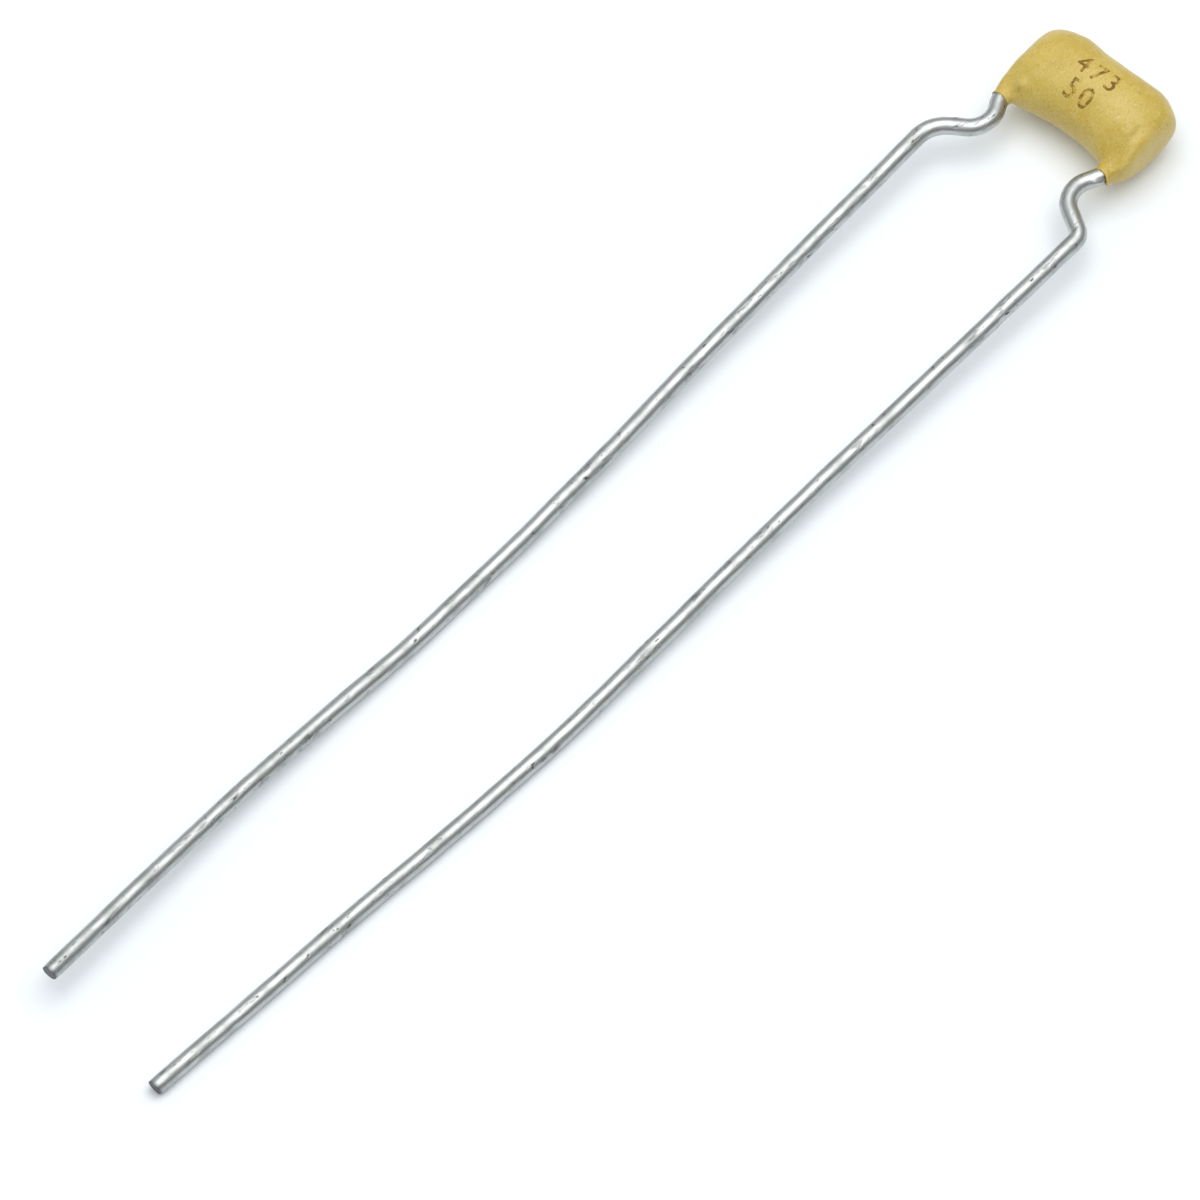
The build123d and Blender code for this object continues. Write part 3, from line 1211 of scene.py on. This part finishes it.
@dataclass
class Studio:
    """The white table, the overhead softbox, the dim room round it and the camera.

    The table and the softbox are in metres, the lens and the gap below the part in millimetres.
    """

    seat: Seat
    azimuth: float = -49.1
    elevation: float = 58.0
    lens: float = 1400.0
    sensor: float = 36.0
    clip_ratio: float = 10.0
    photo_scale: float = 36.4
    photo_size: float = 1200.0
    seat_pixel: tuple[float, float] = (1052.05, 136.5)
    table_size: float = 3.0
    table_gap: float = 0.002
    table_white: Colour = (0.905, 0.940, 0.975)
    table_glow: float = 0.05
    softbox_size: float = 0.40
    softbox_distance: float = 0.35
    softbox_level: float = 2.1
    softbox_way: Place = (0.11, -0.03, 1.0)
    room_rise: Span = (0.0, 0.8)
    room_level: Span = (0.18, 0.68)
    room_side: float = 0.13
    room_tint: Colour = (0.955, 0.99, 1.0)

    def build(self) -> None:
        """Sets up everything that isn't the object."""
        self.table()
        self.softbox()
        self.room()
        self.camera()
        bpy.context.scene.view_settings.view_transform = "Standard"

    def table(self) -> None:
        """Makes the table: a cool white that glows slightly for the eye and for reflections."""
        half = self.table_size / 2
        sides = ((-half, -half), (half, -half), (half, half), (-half, half))
        mesh = bpy.data.meshes.new("table")
        mesh.from_pydata([(x, y, -self.table_gap * MM) for x, y in sides], [], [(0, 1, 2, 3)])
        table = bpy.data.objects.new("table", mesh)
        bpy.context.scene.collection.objects.link(table)
        material = bpy.data.materials.new("white_table")
        material.use_nodes = True
        material.node_tree.nodes.clear()
        graph = Graph(material.node_tree)
        paper = graph.take("ShaderNodeBsdfDiffuse", "BSDF", {"Color": (*self.table_white, 1.0)})
        rays = graph.add("ShaderNodeLightPath").outputs
        seen = graph.math("MAXIMUM", Field(graph, rays["Is Camera Ray"]), Field(graph, rays["Is Glossy Ray"]))
        seen = graph.math("MAXIMUM", seen, Field(graph, rays["Is Transmission Ray"]))
        glow = graph.take("ShaderNodeEmission", "Emission", {"Strength": seen * self.table_glow})
        both = graph.take("ShaderNodeAddShader", "Shader", {0: paper, 1: glow})
        graph.add("ShaderNodeOutputMaterial", {"Surface": both})
        mesh.materials.append(material)
        table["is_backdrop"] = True

    def softbox(self) -> None:
        """Hangs the large softbox over the part, a little towards the top of its body."""
        lamp = bpy.data.lights.new("softbox", "AREA")
        lamp.shape = "DISK"
        lamp.size = self.softbox_size
        lamp.energy = self.softbox_level * math.pi * math.pi * (self.softbox_size / 2) ** 2
        holder = bpy.data.objects.new("softbox", lamp)
        way = Vector(self.softbox_way).normalized()
        holder.location = way * self.softbox_distance
        holder.rotation_euler = way.to_track_quat("Z", "Y").to_euler()
        bpy.context.scene.collection.objects.link(holder)

    def room(self) -> None:
        """Makes the dim room: darkest low down and to the right, lighter overhead and to the left."""
        world = bpy.data.worlds.new("room")
        bpy.context.scene.world = world
        world.use_nodes = True
        graph = Graph(world.node_tree)
        _, left, height = graph.split(graph.take("ShaderNodeTexCoord", "Generated"))
        level = graph.smooth(height, *self.room_rise, *self.room_level) + left * self.room_side
        backdrop = world.node_tree.nodes["Background"]
        graph.feed(backdrop.inputs["Strength"], level)
        backdrop.inputs["Color"].default_value = (*self.room_tint, 1.0)

    def camera(self) -> None:
        """Aims a long lens so that the seat lands on its place in the photograph's frame."""
        turn, tilt = math.radians(self.azimuth), math.radians(self.elevation)
        right = Vector((math.cos(turn), math.sin(turn), 0.0))
        up = Vector((-math.sin(turn) * math.sin(tilt), math.cos(turn) * math.sin(tilt), math.cos(tilt)))
        back = right.cross(up)
        centre = self.photo_size / 2
        off_right = (self.seat_pixel[0] - centre) / self.photo_scale
        off_up = (centre - self.seat_pixel[1]) / self.photo_scale
        distance = self.photo_size / self.photo_scale * MM * self.lens / self.sensor
        low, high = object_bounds()
        seat_distance = distance + ((low + high) / 2 - self.seat.origin).dot(back)
        aim = self.seat.origin - (right * off_right + up * off_up) * MM * (seat_distance / distance)
        data = bpy.data.cameras.new("camera")
        data.lens = self.lens
        data.sensor_width = self.sensor
        data.clip_start = distance / self.clip_ratio
        data.clip_end = distance * self.clip_ratio
        camera = bpy.data.objects.new("camera", data)
        camera.location = aim + back * seat_distance
        camera.rotation_euler = back.to_track_quat("Z", "Y").to_euler()
        bpy.context.scene.collection.objects.link(camera)
        bpy.context.scene.camera = camera


def make_leads(seat: Seat) -> list[Lead]:
    """Gives both leads their runs, kinks and bows.

    Args:
        seat: Where the wires leave the body.

    Returns:
        The left and the right lead.
    """
    left = Lead(
        seat, Side.LEFT,
        level=((0.93, -0.46), (0.98, 0.95)),
        fall=((20.6, 0.96),),
        rise=((8.0, 1.28), (8.0, 1.20)),
        tip_lift=0.85, kink_radius=1.1, bow=-0.06, bow_between=(-10.5, -22.0), seed=3.0,
    )
    right = Lead(
        seat, Side.RIGHT,
        level=((1.18, -0.54), (0.78, 0.82)),
        fall=((11.04, 0.38), (10.5, 0.24)),
        rise=((15.5, -0.71),),
        tip_lift=0.0, kink_radius=0.4, bow=-0.07, bow_between=(-1.5, -32.0), seed=21.0,
        beads=((-0.42, -1.94, 0.12), (-0.30, -2.03, 0.05)),
    )
    return [left, right]


def report(piece: bpy.types.Object) -> None:
    """Logs a piece's name and how many faces it has."""
    LOG.info("%s: %d faces", piece.name, len(piece.data.polygons))


def main() -> None:
    """Builds the coated body, the leads, the stamp, the inside and the studio, in that order."""
    logging.basicConfig(level=logging.INFO, format="%(name)s: %(message)s")
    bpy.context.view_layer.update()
    seat = Seat.from_frame(chip_above=0.90)
    coating = Coating(seat)
    report(coating.build(EpoxyFinish()))
    coating.dress()
    tin = TinFinish()
    for lead in make_leads(seat):
        report(lead.build(tin))
        lead.dress()
    marking = Marking(seat)
    for row in marking.build(InkFinish(), coating.piece):
        report(row)
    marking.dress()
    inside = Inside()
    inside.build()
    inside.dress()
    Studio(seat).build()


if __name__ == "__main__":
    main()
